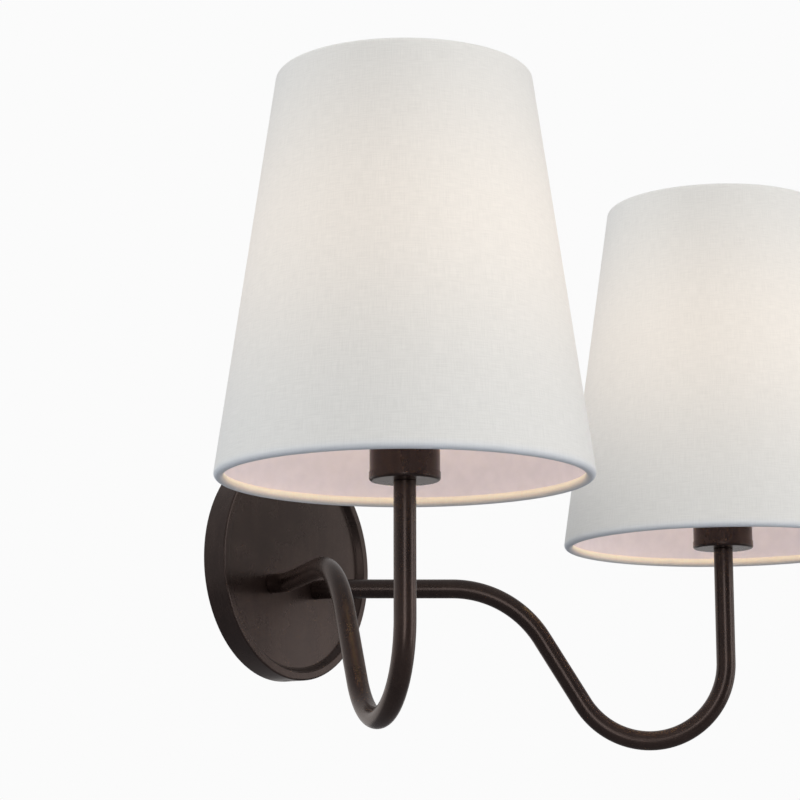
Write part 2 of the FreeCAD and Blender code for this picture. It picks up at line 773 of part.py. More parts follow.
def lead_route(side):
    """From the terminal block past the root nut, and along the arm into the lampholder."""
    mid_block = -size.bar_thickness.value - size.block_depth.value / 2
    radius = size.lead_diameter.value / 2
    behind = -(radius + size.turning_gap.value + size.wire_clearance.value * 2)
    entry = side * size.block_length.value / 4
    root = side * size.root_spacing.value / 2
    level = -size.root_drop.value
    spread, dive = math.radians(size.spread_angle.value), math.radians(size.dive_angle.value)
    heading = Vector(side * math.sin(spread), -math.cos(spread), 0)
    plan_corner = Vector(root, place.face_y.value - size.root_straight.value
                         - size.plan_radius.value * math.tan(spread / 2), level)
    bend_end = Vector(side * place.bend_across.value, place.bend_y.value, level)
    shoulder_reach = size.run_length.value + size.shoulder_radius.value * math.tan(dive / 2)
    shoulder_corner = bend_end + heading * shoulder_reach
    stem = Vector(side * place.stem_across.value, place.stem_y.value, 0)
    fall = (place.stem_reach.value - shoulder_reach) * math.tan(dive)
    above_block = size.block_rise.value + size.entry_depth.value - size.turning_gap.value
    corners = [
        Vector(entry, mid_block, above_block),
        Vector(entry, mid_block, size.block_rise.value * 0.55),
        Vector(root, behind, size.block_rise.value * 0.25),
        Vector(root, behind, level),
        plan_corner,
        shoulder_corner,
        stem + Vector(0, 0, level - fall),
        stem + Vector(0, 0, place.core_level.value - size.turning_gap.value),
    ]
    loose = 2.6 * size.lead_diameter.value
    radii = [loose, loose, size.lead_diameter.value, size.plan_radius.value,
             size.shoulder_radius.value, size.hook_radius.value]
    return rounded_route(corners, radii)


def make_lead(name, side):
    """Round sheathed lead, whole from the terminal block to the lampholder."""
    route = lead_route(side)
    start = route.OrderedVertexes[0].Point
    radius = size.lead_diameter.value / 2
    section = Part.Wire(Part.makeCircle(radius, start, Vector(0, 0, -1)))
    tube = route.makePipeShell([section], True, True)
    expected = math.pi * radius ** 2 * route.Length
    if abs(tube.Volume / expected - 1) > 0.01:
        raise RuntimeError("lead_%s: its volume is not its section times its length" % name)
    lead = document.addObject("Part::Feature", "lead_" + name)
    lead.Shape = tube
    lead.Label = "lead_" + name
    sub_parts.append(lead)
    print("lead_%s: %.1f mm long" % (name, route.Length))


# ---------------------------------------------------------------- lampholder and its cup

def make_turned(label, side, up, corners, arcs=None):
    """Body turned round the stem's axis from a half section above a level."""
    body = new_body(label, place.stem_across * side, place.stem_y, up)
    section = new_sketch(body, "XZ_Plane")
    draw_outline(section, corners, arcs)
    revolve(body, section)
    return body


def make_cup(name, side):
    """Base with a rounded foot and an inner lip, and the sleeve that stands on it."""
    lip = place.sleeve_bore - size.fit_clearance
    lip_bore = lip - size.plate_wall
    top = size.base_height + size.base_lip
    base = make_turned("cup_base_" + name, side, size.cup_level, [
        (place.nipple_hole, 0),
        (size.base_diameter / 2, 0),
        (size.base_diameter / 2, size.base_height),
        (lip, size.base_height),
        (lip, top),
        (lip_bore, top),
        (lip_bore, size.base_floor),
        (place.nipple_hole, size.base_floor),
    ])
    round_edges(base, ring_edge(0, size.base_diameter / 2), size.base_round)
    make_turned("cup_sleeve_" + name, side, size.cup_level + size.base_height, [
        (place.sleeve_bore, 0),
        (size.sleeve_diameter / 2, 0),
        (size.sleeve_diameter / 2, size.sleeve_height),
        (place.sleeve_bore, size.sleeve_height),
    ])
    across = place.stem_across * side
    floor = size.cup_level + size.base_floor
    grip = size.base_height + size.base_lip + size.housing_boss - size.turning_gap
    make_nipple("stem_nipple_" + name, across, place.stem_y, size.cup_level, "z",
                size.stem_insert, size.stem_insert + grip)
    make_washer("cup_washer_" + name, across, place.stem_y, floor, "z")
    make_nut("cup_nut_" + name, across, place.stem_y, floor + size.washer_thickness, "z")


def make_lampholder(name, side):
    """Threaded housing on the nipple, its core, the screw shell and the centre spring."""
    outer = size.housing_diameter / 2
    ledge = place.housing_bore - size.housing_wall
    screw_bore = place.nipple_radius + size.thread_clearance
    boss = screw_bore + size.housing_wall * 1.5
    housing = make_turned("lampholder_housing_" + name, side, place.housing_level, [
        (screw_bore, 0),
        (outer, 0),
        (outer, size.housing_height),
        (place.housing_bore, size.housing_height),
        (place.housing_bore, place.core_seat),
        (ledge, place.core_seat),
        (ledge, size.housing_floor),
        (boss, size.housing_floor),
        (boss, size.housing_boss),
        (screw_bore, size.housing_boss),
    ])
    round_edges(housing, ring_edge(size.housing_height, outer), size.housing_wall / 3)
    core_radius = place.housing_bore - size.fit_clearance
    core = make_turned("lampholder_core_" + name, side, place.core_level, [
        (0, 0),
        (core_radius, 0),
        (core_radius, size.core_height),
        (size.core_bore / 2, size.core_height),
        (size.core_bore / 2, size.core_height - size.core_bore_depth),
        (0, size.core_height - size.core_bore_depth),
    ])
    wire_ways = new_sketch(core, "XY_Plane")
    for _, way in SIDES:
        draw_circle(wire_ways, size.core_bore * way / 4, 0, size.contact_rise / 3)
    cut(core, wire_ways, size.core_height, back=True)
    shell = size.core_bore / 2 - size.hole_clearance
    make_turned("screw_shell_" + name, side, place.well_level + size.contact_thickness * 2, [
        (shell - size.shell_wall, 0),
        (shell, 0),
        (shell, size.shell_height),
        (shell - size.shell_wall, size.shell_height),
    ])
    contact = new_body("centre_contact_" + name, place.stem_across * side, place.stem_y,
                       place.well_level)
    strip = new_sketch(contact, "XZ_Plane")
    thick, rise, reach = size.contact_thickness, size.contact_rise, size.contact_width
    draw_outline(strip, [
        (-reach, 0),
        (-reach / 3, 0),
        (reach / 6, rise),
        (reach / 2, rise),
        (reach / 2, rise + thick),
        (0, rise + thick),
        (-reach / 2, thick),
        (-reach, thick),
    ])
    extrude(contact, strip, size.contact_width, both=True)


def make_rings(name, side):
    """Two flanged rings on the housing's thread, face to face, with grip grooves."""
    bore, collar, flange = place.ring_bore, size.ring_collar / 2, size.ring_flange / 2
    thick, height = size.ring_flange_thickness, size.ring_height
    lower = make_turned("lower_ring_" + name, side, place.sleeve_top, [
        (bore, 0), (collar, 0), (collar, height - thick), (flange, height - thick),
        (flange, height), (bore, height),
    ])
    upper = make_turned("upper_ring_" + name, side, place.upper_ring_level, [
        (bore, 0), (flange, 0), (flange, thick), (collar, thick), (collar, height),
        (bore, height),
    ])
    for ring in (lower, upper):
        groove = new_sketch(ring, "XY_Plane")
        draw_circle(groove, flange, 0, size.ring_grip_diameter / 2)
        notch = cut(ring, groove, height * 3, both=True)
        repeat_round(ring, notch, "Z_Axis", size.ring_grip_count)


# ---------------------------------------------------------------- shade

def shade_face(drop):
    """Radius of the fabric's outer face at a drop below the shade's top."""
    slope = (size.shade_bottom_diameter - size.shade_top_diameter) / 2 / size.shade_height
    return size.shade_top_diameter / 2 + slope * drop - size.shade_wall / 4


def make_shade(name, side):
    """Stiff fabric cone whose two edges roll round wire hoops, slit for the spokes on top."""
    body = new_body("shade_" + name, place.stem_across * side, place.stem_y, size.shade_level)
    hem = size.hem_diameter / 2
    hoops = ((place.bottom_hoop, hem), (place.top_hoop, place.top_hoop_rise))
    low, high = shade_face(size.shade_height - hem), shade_face(hem)
    wall = new_sketch(body, "XZ_Plane")
    draw_outline(wall, [
        (low - size.shade_wall, hem),
        (low, hem),
        (high, place.top_hoop_rise),
        (high - size.shade_wall, place.top_hoop_rise),
    ])
    revolve(body, wall)
    for radius, rise in hoops:
        roll = new_sketch(body, "XZ_Plane")
        draw_circle(roll, radius, rise, hem)
        revolve(body, roll)
    for radius, rise in hoops:
        channel = new_sketch(body, "XZ_Plane")
        draw_circle(channel, radius, rise, size.frame_wire / 2 + size.wire_clearance)
        revolve(body, channel, "PartDesign::Groove")
    slit = new_sketch(body, "XY_Plane", (0, 0, place.top_hoop_rise + size.frame_wire / 4))
    draw_rectangle(slit, place.top_hoop - size.hem_diameter, place.top_hoop + hem / 2,
                   -size.notch_width / 2, size.notch_width / 2)
    notch = cut(body, slit, size.hem_diameter * 1.2)
    repeat_round(body, notch, "Z_Axis", SPOKES)


def make_hoop(label, side, radius, rise):
    """Wire hoop inside one of the shade's rolled edges."""
    hoop = document.addObject("Part::Torus", label)
    bind(hoop, "Radius1", radius)
    bind(hoop, "Radius2", size.frame_wire / 2)
    bind(hoop, "Placement.Base.x", place.stem_across * side)
    bind(hoop, "Placement.Base.y", place.stem_y)
    bind(hoop, "Placement.Base.z", size.shade_level + rise)
    hoop.Label = label
    sub_parts.append(hoop)


def make_shade_frame(name, side):
    """Fitter ring, the spokes that rise from it to the top hoop, and the two hoops."""
    fitter = new_body("shade_fitter_" + name, place.stem_across * side, place.stem_y,
                      place.fitter_level)
    bore = size.housing_diameter / 2 + size.ring_clearance * 2
    plate = new_sketch(fitter, "XZ_Plane")
    draw_rectangle(plate, bore, size.fitter_diameter / 2, 0, size.fitter_thickness)
    revolve(fitter, plate)

    spokes = new_body("shade_spokes_" + name, place.stem_across * side, place.stem_y,
                      place.fitter_level + size.fitter_thickness)
    foot = size.fitter_diameter / 2 - size.spoke_wire / 2
    head = place.top_hoop - size.spoke_wire / 4
    top = (size.shade_level + place.top_hoop_rise - size.frame_wire / 2 - size.wire_clearance
           - place.fitter_level - size.fitter_thickness)
    section = new_sketch(spokes, "XY_Plane")
    draw_circle(section, foot, 0, size.spoke_wire / 2)
    line = new_sketch(spokes, "XZ_Plane")
    index = line.addGeometry(Part.LineSegment(
        Vector(number(foot), 0, 0), Vector(number(head), number(top), 0)))
    for point, across, up in ((1, foot, 0), (2, head, top)):
        constrain(line, "DistanceX", index, point, across)
        constrain(line, "DistanceY", index, point, up)
    spoke = sweep(spokes, section, line)
    repeat_round(spokes, spoke, "Z_Axis", SPOKES)

    make_hoop("top_wire_" + name, side, place.top_hoop, place.top_hoop_rise)
    make_hoop("bottom_wire_" + name, side, place.bottom_hoop, size.hem_diameter / 2)


# ---------------------------------------------------------------- lamp

def make_lamp(name, side):
    """Candle lamp: tip, insulating cone, screw cap with a collar, and the frosted glass."""
    cap = size.lamp_cap_diameter / 2
    tip = size.lamp_tip_diameter / 2
    collar = size.lamp_neck_diameter / 2
    neck = collar - size.shell_wall - size.fit_clearance
    cone_foot = size.lamp_tip_height
    cap_foot = cone_foot + size.lamp_insulator_height
    cap_top = size.lamp_cap_height
    collar_depth = size.lamp_insulator_height
    make_turned("lamp_contact_" + name, side, place.lamp_level, [
        (0, 0), (tip * 0.7, 0), (tip, cone_foot / 2), (tip, cone_foot), (0, cone_foot),
    ])
    make_turned("lamp_insulator_" + name, side, place.lamp_level, [
        (0, cone_foot), (tip, cone_foot), (cap - size.fit_clearance * 2, cap_foot),
        (0, cap_foot),
    ])
    make_turned("lamp_cap_" + name, side, place.lamp_level, [
        (0, cap_foot),
        (cap, cap_foot),
        (cap, cap_top - collar_depth * 2),
        (collar, cap_top - collar_depth),
        (collar, cap_top),
        (collar - size.shell_wall, cap_top),
        (collar - size.shell_wall, cap_top - collar_depth),
        (0, cap_top - collar_depth),
    ])
    wall, round_off = size.lamp_glass_wall, size.lamp_tip_round
    belly, belly_up = size.lamp_diameter / 2, cap_top + size.lamp_belly_rise
    top = cap_top + size.lamp_glass_height
    foot = cap_top - collar_depth
    make_turned("lamp_glass_" + name, side, place.lamp_level, [
        (neck, foot),
        (neck, cap_top),
        (belly, belly_up),
        (round_off, top - round_off),
        (0, top),
        (0, top - wall),
        (round_off - wall, top - round_off - wall / 2),
        (belly - wall, belly_up),
        (neck - wall, cap_top),
        (neck - wall, foot),
    ], {
        1: ("y", belly_up, 1),
        2: ("y", belly_up, 1),
        3: ("x", 0, 1),
        5: ("x", 0, -1),
        6: ("y", belly_up, -1),
        7: ("y", belly_up, -1),
    })


# ---------------------------------------------------------------- build, check and write

def check_everything():
    """Every object healthy and every sub-part a valid solid, before anything is written."""
    document.recompute()
    for item in document.Objects:
        if {"Invalid", "Error"} & set(item.State):
            raise RuntimeError("%s is %s" % (item.Label, item.State))
    for item in sub_parts:
        shape = item.Shape
        if shape.isNull() or not shape.isValid() or not shape.Solids:
            raise RuntimeError("%s has no valid solid" % item.Label)


def write_parts():
    os.makedirs("parts", exist_ok=True)
    for item in sub_parts:
        item.Shape.exportStep("parts/%s.step" % item.Label)
    print("%d sub-parts written" % len(sub_parts))


def main():
    fill_sheet()
    settle_places()
    make_backplate()
    make_mounting_bar()
    make_canopy_screws()
    make_ground_screw()
    make_terminal_block()
    make_terminal_screws()
    for name, side in SIDES:
        make_arm(name, side)
        make_arm_fastening(name, side)
        make_lead(name, side)
        make_cup(name, side)
        make_lampholder(name, side)
        make_rings(name, side)
        make_shade(name, side)
        make_shade_frame(name, side)
        make_lamp(name, side)
    check_everything()
    write_parts()


main()
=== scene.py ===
import math

import bpy
import numpy as np
from mathutils import Matrix, Vector


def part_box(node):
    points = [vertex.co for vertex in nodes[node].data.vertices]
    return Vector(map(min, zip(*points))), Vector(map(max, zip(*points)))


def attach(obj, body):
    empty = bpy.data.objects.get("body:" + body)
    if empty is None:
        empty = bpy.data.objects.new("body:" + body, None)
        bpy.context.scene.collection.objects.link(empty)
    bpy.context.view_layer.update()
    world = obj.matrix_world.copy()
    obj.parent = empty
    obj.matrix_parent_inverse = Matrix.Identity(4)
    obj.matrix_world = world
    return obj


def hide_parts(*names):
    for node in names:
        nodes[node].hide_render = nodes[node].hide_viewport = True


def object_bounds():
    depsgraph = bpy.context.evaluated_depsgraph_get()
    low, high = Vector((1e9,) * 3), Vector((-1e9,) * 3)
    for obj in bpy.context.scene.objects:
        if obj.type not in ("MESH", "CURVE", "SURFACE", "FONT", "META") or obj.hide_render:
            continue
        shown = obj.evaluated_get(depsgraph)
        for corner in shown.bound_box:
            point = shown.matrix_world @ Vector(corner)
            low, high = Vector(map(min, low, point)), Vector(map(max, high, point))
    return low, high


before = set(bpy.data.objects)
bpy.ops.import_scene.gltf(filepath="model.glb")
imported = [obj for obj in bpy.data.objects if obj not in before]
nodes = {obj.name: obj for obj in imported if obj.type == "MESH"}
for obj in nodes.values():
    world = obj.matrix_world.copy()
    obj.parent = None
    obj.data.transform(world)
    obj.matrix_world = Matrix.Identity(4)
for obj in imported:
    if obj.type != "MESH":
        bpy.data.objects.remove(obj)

# Double arm wall sconce: dark aged bronze backplate, bent arms and cups, and two lit linen shades.
# Metres, in the model's own frame: origin on the wall behind the backplate's centre, +X to the
# right along the wall, +Y into the wall, +Z up. Each new piece stands where its model node is.

cad_low, cad_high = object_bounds()
MM = 0.001
TURN = 2 * math.pi
SIDES = (("left", -1), ("right", 1))


# ---------------------------------------------------------------- places taken from the model

def middle(node):
    """Centre of a model node's box."""
    low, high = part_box(node)
    return (low + high) / 2


def stem_axis(name):
    """The upright line through a cup, as (x, y)."""
    centre = middle("cup_sleeve_" + name)
    return centre.x, centre.y


def glass_level(share):
    """The level at a share of the lamp glass's height."""
    low, high = (corner.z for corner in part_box("lamp_glass_left"))
    return low + share * (high - low)


# ---------------------------------------------------------------- mesh helpers

def add_object(name, data):
    """New object round the data, linked to the scene."""
    made = bpy.data.objects.new(name, data)
    bpy.context.scene.collection.objects.link(made)
    return made


def add_piece(name, points, faces, body, stands_for, uv):
    """A smooth mesh that rides a body. uv holds one (u, v) for each corner of each face."""
    mesh = bpy.data.meshes.new(name)
    mesh.from_pydata(points.tolist(), [], faces)
    mesh.uv_layers.new(name="surface").data.foreach_set("uv", np.ravel(uv))
    mesh.polygons.foreach_set("use_smooth", np.full(len(mesh.polygons), True))
    piece = add_object(name, mesh)
    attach(piece, body)
    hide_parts(*stands_for)
    return piece


def quads_of(rows, columns, close_rows):
    """Quads of a grid whose columns close on themselves, with each quad's row and column."""
    last_row = rows if close_rows else rows - 1
    row, column = (part.ravel() for part in
                   np.meshgrid(np.arange(last_row), np.arange(columns), indexing="ij"))
    next_row, next_column = (row + 1) % rows, (column + 1) % columns
    quads = np.stack([row * columns + column, row * columns + next_column,
                      next_row * columns + next_column, next_row * columns + column], axis=-1)
    return quads, row, column


def quad_uv(row, column, steps, round_length, travelled):
    """u runs round the surface and v along its profile or path, both in metres."""
    u = np.stack([column, column + 1, column + 1, column], axis=-1) / steps * round_length
    v = np.stack([travelled[row], travelled[row], travelled[row + 1], travelled[row + 1]], axis=-1)
    return np.stack([u, v], axis=-1)


def distance_along(points):
    """Distance travelled at each point, from zero at the first."""
    return np.concatenate([[0], np.cumsum(np.linalg.norm(np.diff(points, axis=0), axis=1))])


def spun(name, profile, axis, body, stands_for, steps):
    """Each (radius, level) of a closed profile goes round an upright axis at (x, y).

    A point is (x + radius * cos a, y + radius * sin a, level). The profile runs anticlockwise,
    with outwards to its right and up at its top.
    """
    angle = np.arange(steps) * TURN / steps
    radius, level = profile[:, :1], np.repeat(profile[:, 1:], steps, axis=1)
    points = np.stack([radius * np.cos(angle), radius * np.sin(angle), level], axis=-1)
    points = points.reshape(-1, 3) + [*axis, 0]
    quads, row, column = quads_of(len(profile), steps, close_rows=True)
    travelled = distance_along(np.vstack([profile, profile[:1]]))
    uv = quad_uv(row, column, steps, TURN * radius.max(), travelled)
    return add_piece(name, points, quads.tolist(), body, stands_for, uv)


def swept(name, centres, tangents, headings, radii, body, stands_for, steps):
    """Round tube along a path: centre + radius * (cos a * side + sin a * rise).

    side is level and square to the path's heading, and rise is square to tangent and side.
    The ends are closed with flat fans, which leave the tube's own normals alone.
    """
    side = np.cross([0, 0, 1], headings)
    rise = np.cross(tangents, side)
    angle = np.arange(steps)[:, None] * TURN / steps
    rings = centres[:, None] + radii[:, None, None] * (
        np.cos(angle) * side[:, None] + np.sin(angle) * rise[:, None])
    points = np.concatenate([rings.reshape(-1, 3), centres[:1], centres[-1:]])
    rows = len(centres)
    quads, row, column = quads_of(rows, steps, close_rows=False)
    uv = quad_uv(row, column, steps, TURN * radii.max(), distance_along(centres))
    ring, following = np.arange(steps), (np.arange(steps) + 1) % steps
    near_hub, far_hub, far_ring = rows * steps, rows * steps + 1, (rows - 1) * steps
    near_cap = np.stack([np.full(steps, near_hub), following, ring], axis=-1)
    far_cap = np.stack([np.full(steps, far_hub), far_ring + ring, far_ring + following], axis=-1)
    faces = quads.tolist() + near_cap.tolist() + far_cap.tolist()
    cap_corners = near_cap.size + far_cap.size
    flat_uv = np.concatenate([uv.reshape(-1, 2), np.zeros((cap_corners, 2))])
    piece = add_piece(name, points, faces, body, stands_for, flat_uv)
    smooth = np.arange(len(faces)) < len(quads)
    piece.data.polygons.foreach_set("use_smooth", smooth)
    return piece


def arc(centre, radius, first, last, count):
    """centre + radius * (cos a, sin a), from a first to a last angle in degrees."""
    angle = np.radians(np.linspace(first, last, count))
    return np.column_stack([centre[0] + radius * np.cos(angle),
                            centre[1] + radius * np.sin(angle)])


# ---------------------------------------------------------------- arms

# The model's own sizes, and after them the ease of the ends and the steps of the finer mesh.
TUBE_RADIUS = 5.0 * MM
ROOT_STRAIGHT = 4.0 * MM
PLAN_RADIUS = 18.0 * MM
SPREAD = math.radians(36.9)
RUN = 57.9 * MM
SHOULDER_RADIUS = 55.0 * MM
DIVE = math.radians(58.3)
DIVE_LENGTH = 39.9 * MM
HOOK_RADIUS = 40.8 * MM
END_EASE = 0.35 * MM
BEND_STEPS, SHOULDER_STEPS, HOOK_STEPS, TUBE_STEPS = 24, 48, 96, 48


def arm_path(name, side):
    """Centres, tangents and headings from the plate's face to the cup's underside.

    A level bend turns the heading through SPREAD. Then, in the upright plane of that heading,
    the slope angle goes from 0 down to -DIVE on the shoulder and up to 90 degrees on the hook,
    and each bend's points are its centre + radius * (sin slope, -cos slope), with the shoulder's
    centre below and the hook's above. Close pairs of points keep each end's cap from bending
    the shading of the tube.
    """
    root = np.array(middle("root_nipple_" + name))
    root[1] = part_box("arm_" + name)[1].y
    cup_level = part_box("cup_base_" + name)[0].z

    turned = np.linspace(0, SPREAD, BEND_STEPS)
    level = np.zeros(BEND_STEPS)
    bend_start = root - [0, ROOT_STRAIGHT, 0]
    bend = bend_start + PLAN_RADIUS * np.column_stack(
        [side * (1 - np.cos(turned)), -np.sin(turned), level])
    bend_heading = np.column_stack([side * np.sin(turned), -np.cos(turned), level])
    heading = bend_heading[-1]

    dropping = np.linspace(0, -DIVE, SHOULDER_STEPS)
    hooking = np.linspace(-DIVE, math.pi / 2, HOOK_STEPS)
    shoulder = np.column_stack([RUN - SHOULDER_RADIUS * np.sin(dropping),
                                SHOULDER_RADIUS * (np.cos(dropping) - 1)])
    dive_end = shoulder[-1] + DIVE_LENGTH * np.array([math.cos(DIVE), -math.sin(DIVE)])
    hook = dive_end + HOOK_RADIUS * np.column_stack(
        [np.sin(hooking) + math.sin(DIVE), math.cos(DIVE) - np.cos(hooking)])
    stem_top = [[hook[-1, 0], cup_level - root[2] - inset] for inset in (END_EASE, 0)]
    upright = np.vstack([shoulder, hook, stem_top])
    slope = np.concatenate([dropping, hooking, [math.pi / 2] * 2])

    outward, up = upright[:, :1] * heading, upright[:, 1:] * [0, 0, 1]
    tangent = np.cos(slope)[:, None] * heading + np.sin(slope)[:, None] * [0, 0, 1]
    root_heading = np.array([[0.0, -1.0, 0.0]] * 3)
    root_run = root + np.outer([0, END_EASE, END_EASE * 2], [0, -1, 0])
    centres = np.vstack([root_run, bend, bend[-1] + outward + up])
    tangents = np.vstack([root_heading, bend_heading, tangent])
    headings = np.vstack([root_heading, bend_heading, np.tile(heading, (len(upright), 1))])
    return centres, tangents, headings


def make_arm(name, side):
    """Bent tube whose end is eased where it meets the plate, as the faint ring there shows."""
    centres, tangents, headings = arm_path(name, side)
    radii = np.full(len(centres), TUBE_RADIUS)
    radii[0] -= END_EASE
    return swept("bent_arm_" + name, centres, tangents, headings, radii, "sconce",
                 ["arm_" + name], TUBE_STEPS)


# ---------------------------------------------------------------- shades

# The model's own sizes, then the hems' roll and the steps of the finer mesh.
SHADE_LOW, SHADE_HIGH = (corner.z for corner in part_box("shade_left"))
SHADE_FOOT_RADIUS = (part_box("shade_left")[1].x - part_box("shade_left")[0].x) / 2
SHADE_TOP_RADIUS = 58.0 * MM
SHADE_WALL = 0.8 * MM
HEM_RADIUS = 2.3 * MM
WALL_OVERRUN, WALL_EASE = 0.02, 0.004  # shares of the wall's slant
BEAD_STEPS, WALL_STEPS, SHADE_STEPS = 40, 44, 256


def shade_profile():
    """Wall with a bead rolled round a wire at each edge, anticlockwise.

    Each bead is an arc. The wall's outer face is the straight line that touches both beads, and
    its inner face the line a wall's thickness further in, which ends where it meets them. The
    lines' steps run past both ends and are held short of them, so that a close pair of points
    there keeps the bead's bend from shading the wall.
    """
    foot = np.array([SHADE_FOOT_RADIUS - HEM_RADIUS, SHADE_LOW + HEM_RADIUS])
    head = np.array([SHADE_TOP_RADIUS - HEM_RADIUS, SHADE_HIGH - HEM_RADIUS])
    lean = math.degrees(math.atan2(foot[0] - head[0], head[1] - foot[1]))
    spread = math.degrees(math.acos((HEM_RADIUS - SHADE_WALL) / HEM_RADIUS))
    foot_bead = arc(foot, HEM_RADIUS, lean + spread, lean + 360, BEAD_STEPS)
    head_bead = arc(head, HEM_RADIUS, lean, lean + 360 - spread, BEAD_STEPS)
    rise = np.clip(np.linspace(-WALL_OVERRUN, 1 + WALL_OVERRUN, WALL_STEPS),
                   WALL_EASE, 1 - WALL_EASE)[:, None]
    outer = foot_bead[-1] * (1 - rise) + head_bead[0] * rise
    inner = head_bead[-1] * (1 - rise) + foot_bead[0] * rise
    return np.vstack([foot_bead, outer, head_bead, inner])


def make_shade(name, cloth, backing):
    """Shade in its cloth, with a smooth lining on the wall's inner face."""
    profile = shade_profile()
    piece = spun("linen_shade_" + name, profile, stem_axis(name), "shade_" + name,
                 ["shade_" + name], SHADE_STEPS)
    clothe(cloth, piece)
    piece.data.materials.append(backing.material)
    row = np.repeat(np.arange(len(profile)), SHADE_STEPS)
    inner_face = 2 * BEAD_STEPS + WALL_STEPS - 1  # the top bead's last row of points
    piece.data.polygons.foreach_set("material_index", (row >= inner_face).astype(np.int32))


# ---------------------------------------------------------------- materials

def rgb(red, green, blue):
    """Linear colour of a screen colour given in the usual 0 to 255."""
    screen = np.array([red, green, blue]) / 255
    linear = np.where(screen <= 0.04045, screen / 12.92, ((screen + 0.055) / 1.055) ** 2.4)
    return (*linear.tolist(), 1.0)


class NodeTree:
    """Short calls for the nodes that the finishes, the floor and the surround share.

    A value given to an input is a number, a colour, a vector or another node's output.
    """

    def __init__(self, owner):
        owner.use_nodes = True
        self.nodes = owner.node_tree.nodes
        self.links = owner.node_tree.links

    def feed(self, socket, value):
        """Link another node's output to a socket, or set its own value."""
        if isinstance(value, (int, float, tuple)):
            socket.default_value = value
        else:
            self.links.new(value, socket)

    def node(self, kind, inputs=None, **settings):
        """The outputs of a new node with these settings and these values on its inputs."""
        made = self.nodes.new(kind)
        for key, value in settings.items():
            setattr(made, key, value)
        for key, value in (inputs or {}).items():
            self.feed(made.inputs[key], value)
        return made.outputs

    def coordinates(self, kind="Object", scale=(1, 1, 1)):
        """The place on the piece, in its own axes or as its UV, times a scale."""
        source = self.node("ShaderNodeTexCoord")[kind]
        return self.node("ShaderNodeMapping", {"Vector": source, "Scale": scale})["Vector"]

    def split(self, vector):
        """The X, Y and Z of a vector, by those names."""
        return self.node("ShaderNodeSeparateXYZ", {"Vector": vector})

    def noise(self, vector, scale, detail=3, roughness=0.5):
        """Cloudy pattern round 0.5, with scale patches to each unit of the vector."""
        return self.node("ShaderNodeTexNoise", {"Vector": vector, "Scale": scale,
                                                "Detail": detail, "Roughness": roughness})["Fac"]

    def ramp(self, value, low, high, start=0.0, end=1.0):
        """value from low to high becomes start to end, and holds beyond them."""
        return self.node("ShaderNodeMapRange", {"Value": value, "From Min": low, "From Max": high,
                                                "To Min": start, "To Max": end})["Result"]

    def maths(self, operation, first, second=0.0):
        """A Math node's operation, on the first value alone or on both."""
        return self.node("ShaderNodeMath", {0: first, 1: second}, operation=operation)["Value"]

    def blend(self, share, first, second):
        """The first colour where the share is 0 and the second where it is 1."""
        return self.node("ShaderNodeMix", {"Factor": share, "A": first, "B": second},
                         data_type="RGBA")["Result"]

    def bump(self, height, distance):
        """Normals of a surface raised by height times distance, in metres."""
        return self.node("ShaderNodeBump", {"Height": height, "Distance": distance})["Normal"]

    def mix_shaders(self, share, first, second):
        """The first shader where the share is 0 and the second where it is 1."""
        return self.node("ShaderNodeMixShader", {0: share, 1: first, 2: second})["Shader"]

    def surface(self, output, source):
        """Send a shader to the output node of that name."""
        self.feed(self.nodes[output].inputs["Surface"], source)


class Finish(NodeTree):
    """A node material round one Principled shader."""

    def __init__(self, name):
        self.material = bpy.data.materials.new(name)
        super().__init__(self.material)
        self.shader = self.nodes["Principled BSDF"]

    def set(self, **values):
        """Values for the shader's sockets, whose names have underscores for their spaces."""
        for key, value in values.items():
            self.feed(self.shader.inputs[key.replace("_", " ")], value)


def clothe(finish, *objects):
    """Give each object this finish and no other."""
    for thing in objects:
        thing.data.materials.clear()
        thing.data.materials.append(finish.material)


def aged_bronze():
    """Dark brown finish, clouded and finely pebbled, so that its highlights break into specks.

    The clouds are some 40 mm across, the blotches 10 mm, the upright streaks 2 mm wide and
    40 mm long, and the specks half a millimetre. The last three each lighten the brown a little.
    """
    finish = Finish("aged bronze")
    place = finish.coordinates()
    clouds = finish.noise(place, 26, detail=5, roughness=0.6)
    blotches = finish.noise(place, 95, detail=1)
    streaks = finish.noise(finish.coordinates(scale=(420, 420, 26)), 1.0, detail=2)
    specks = finish.noise(place, 1900, detail=1)
    colour = finish.blend(finish.ramp(clouds, 0.36, 0.66), rgb(40, 29, 27), rgb(55, 42, 38))
    for pattern, low, high, most, lighter in (
            (streaks, 0.42, 0.76, 0.16, rgb(72, 60, 54)),
            (blotches, 0.56, 0.76, 0.10, rgb(76, 64, 57)),
            (specks, 0.50, 0.70, 0.20, rgb(82, 70, 65))):
        colour = finish.blend(finish.ramp(pattern, low, high, 0.0, most), colour, lighter)
    finish.set(Base_Color=colour, Roughness=finish.ramp(clouds, 0.3, 0.7, 0.26, 0.29),
               Normal=finish.bump(specks, 0.022 * MM), Metallic=0.5, Specular_IOR_Level=0.5,
               Specular_Tint=(1.0, 0.9, 0.84, 1.0))
    return finish


def bell(finish, value, centre, reach):
    """exp(-((value - centre) / reach) squared): 1 at the centre and near 0 two reaches away."""
    away = finish.maths("DIVIDE", finish.maths("SUBTRACT", value, centre), reach)
    squared = finish.maths("MULTIPLY", away, away)
    return finish.maths("EXPONENT", finish.maths("MULTIPLY", squared, -1.0))


WEAVE_REPEAT = 0.62 * MM
# Painted glow of the lamp's light through the cloth: its level, reach and strength.
GLOW_LEVEL, GLOW_REACH, GLOW = glass_level(0.55), 62 * MM, 0.17
